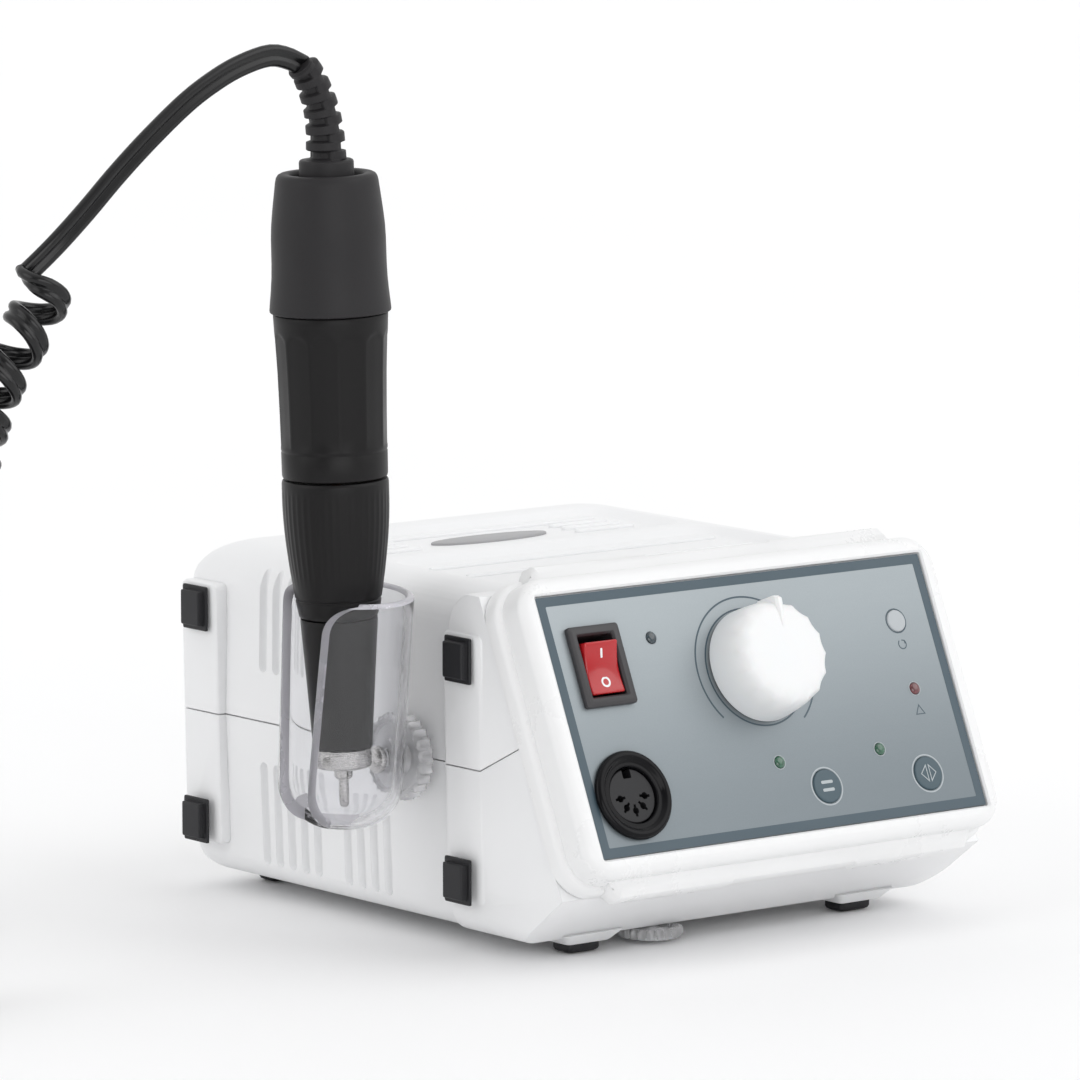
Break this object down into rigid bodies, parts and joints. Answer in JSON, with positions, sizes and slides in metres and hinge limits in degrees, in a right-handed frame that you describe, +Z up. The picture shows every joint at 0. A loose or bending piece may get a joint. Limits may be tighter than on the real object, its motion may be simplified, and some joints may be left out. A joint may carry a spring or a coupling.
{
  "type": "electric nail drill",
  "caption": "Benchtop nail drill: control box with a sloping front panel, clear side rest, slim handpiece and curly cord.",
  "frame": {"origin": "on the table, under the middle of the box, its rest and the handpiece taken together, leaving out the free cord", "axes": "+Z up; the front panel faces -Y; the handpiece rest is on the -X side; metres"},
  "size_m": [0.3004, 0.1835, 0.2128],
  "materials": {
    "white_abs": "fine satin moulding",
    "label_metal": "printed, fine brushed",
    "black_rubber": "matt",
    "black_gloss": "glossy",
    "black_satin": "satin",
    "red_gloss": "glossy, slightly clear",
    "green_lens": "clear tinted lens",
    "red_lens": "clear tinted lens",
    "slate_lens": "clear tinted lens",
    "slate_cap": "satin",
    "grey_cap": "satin",
    "board": "solder mask",
    "lamination": "stacked laminations",
    "copper": "enamelled wire",
    "plated_steel": "plated",
    "bright_steel": "polished",
    "clear_plastic": "clear, polished",
    "black_abs": "satin",
    "black_soft": "soft-touch matt",
    "black_vinyl": "smooth sheath"
  },
  "bodies": {
    "case": {"upper_shell": "white_abs", "lower_shell": "white_abs", "front_bezel": "white_abs", "front_label": "label_metal", "foot_front_left": "black_rubber", "foot_front_right": "black_rubber", "foot_rear_left": "black_rubber", "foot_rear_right": "black_rubber", "bumper_left_front_lower": "black_rubber", "bumper_left_front_upper": "black_rubber", "bumper_left_rear_lower": "black_rubber", "bumper_left_rear_upper": "black_rubber", "bumper_right_front_lower": "black_rubber", "bumper_right_front_upper": "black_rubber", "bumper_right_rear_lower": "black_rubber", "bumper_right_rear_upper": "black_rubber", "switch_housing": "black_gloss", "handpiece_socket": "black_gloss", "socket_insert": "black_satin", "power_lamp": "slate_lens", "mode_lamp": "green_lens", "direction_lamp": "green_lens", "overload_lamp": "red_lens", "control_board": "board", "transformer_core": "lamination", "transformer_winding": "copper", "potentiometer": "plated_steel", "mains_inlet": "black_gloss", "fuse_holder": "black_gloss", "pedal_jack": "black_gloss", "holder_stud": "plated_steel", "low_stud": "plated_steel", "cord_coil": "black_vinyl", "cord_tail": "black_vinyl", "plug_grip": "black_abs", "plug_shell": "bright_steel"},
    "rocker": {"rocker": "red_gloss"},
    "knob": {"speed_knob": "white_abs", "speed_shaft": "plated_steel"},
    "mode_button": {"mode_button": "slate_cap"},
    "direction_button": {"direction_button": "slate_cap"},
    "reset_button": {"reset_button": "grey_cap"},
    "holder": {"holder_cup": "clear_plastic"},
    "clamp_wheel": {"clamp_wheel": "clear_plastic"},
    "low_wheel": {"low_wheel": "clear_plastic"},
    "handpiece": {"rear_cap": "black_soft", "grip_sleeve": "black_abs", "nose_cone": "black_abs", "nose_ring": "bright_steel", "motor_can": "plated_steel", "front_bearing": "plated_steel", "rear_bearing": "plated_steel", "strain_relief": "black_soft", "cord_lead": "black_vinyl", "cord_curl": "black_vinyl"},
    "twist_sleeve": {"twist_sleeve": "black_soft"},
    "spindle": {"spindle": "bright_steel", "rotor": "copper"},
    "collet": {"collet": "bright_steel", "bit": "bright_steel"}
  },
  "joints": [
    {"name": "rocker_tilt", "type": "hinge", "parent": "case", "child": "rocker", "pos_m": [-0.02824, -0.0614, 0.06803], "axis": [1, 0, 0], "range_deg": [-18, 0]},
    {"name": "knob_turn", "type": "hinge", "parent": "case", "child": "knob", "pos_m": [0.01696, -0.06547, 0.0648], "axis": [0, -0.9135, 0.4067], "range_deg": [-135, 135]},
    {"name": "mode_press", "type": "slide", "parent": "case", "child": "mode_button", "axis": [0, 0.9135, -0.4067], "range_m": [0, 0.0008], "stiffness_N_per_m": 600},
    {"name": "direction_press", "type": "slide", "parent": "case", "child": "direction_button", "axis": [0, 0.9135, -0.4067], "range_m": [0, 0.0008], "stiffness_N_per_m": 600},
    {"name": "reset_press", "type": "slide", "parent": "case", "child": "reset_button", "axis": [0, 0.9135, -0.4067], "range_m": [0, 0.0008], "stiffness_N_per_m": 600},
    {"name": "holder_swivel", "type": "hinge", "parent": "case", "child": "holder", "pos_m": [-0.06694, -0.01574, 0.0438], "axis": [1, 0, 0], "range_deg": [-30, 30]},
    {"name": "clamp_wheel_turn", "type": "hinge", "parent": "case", "child": "clamp_wheel", "pos_m": [-0.04914, -0.01574, 0.0438], "axis": [1, 0, 0], "range_deg": [-180, 180]},
    {"name": "low_wheel_turn", "type": "hinge", "parent": "case", "child": "low_wheel", "pos_m": [-0.00274, -0.05114, 0.0021], "axis": [0, 0, 1], "range_deg": [-180, 180]},
    {"name": "handpiece_lift", "type": "slide", "parent": "holder", "child": "handpiece", "axis": [-0.0302, 0, 0.9995], "range_m": [0, 0.09]},
    {"name": "twist_lock", "type": "hinge", "parent": "handpiece", "child": "twist_sleeve", "pos_m": [-0.06724, -0.01694, 0.0436], "axis": [-0.0302, 0, 0.9995], "range_deg": [0, 40]},
    {"name": "spindle_spin", "type": "hinge", "parent": "handpiece", "child": "spindle", "pos_m": [-0.06724, -0.01694, 0.0436], "axis": [-0.0302, 0, 0.9995], "continuous": true},
    {"name": "collet_shift", "type": "slide", "parent": "spindle", "child": "collet", "axis": [0.0302, 0, -0.9995], "range_m": [0, 0.0008]}
  ],
  "couplings": [
    {"joint": "twist_lock", "follows": "collet_shift", "rad_per_m": 872.6}
  ]
}
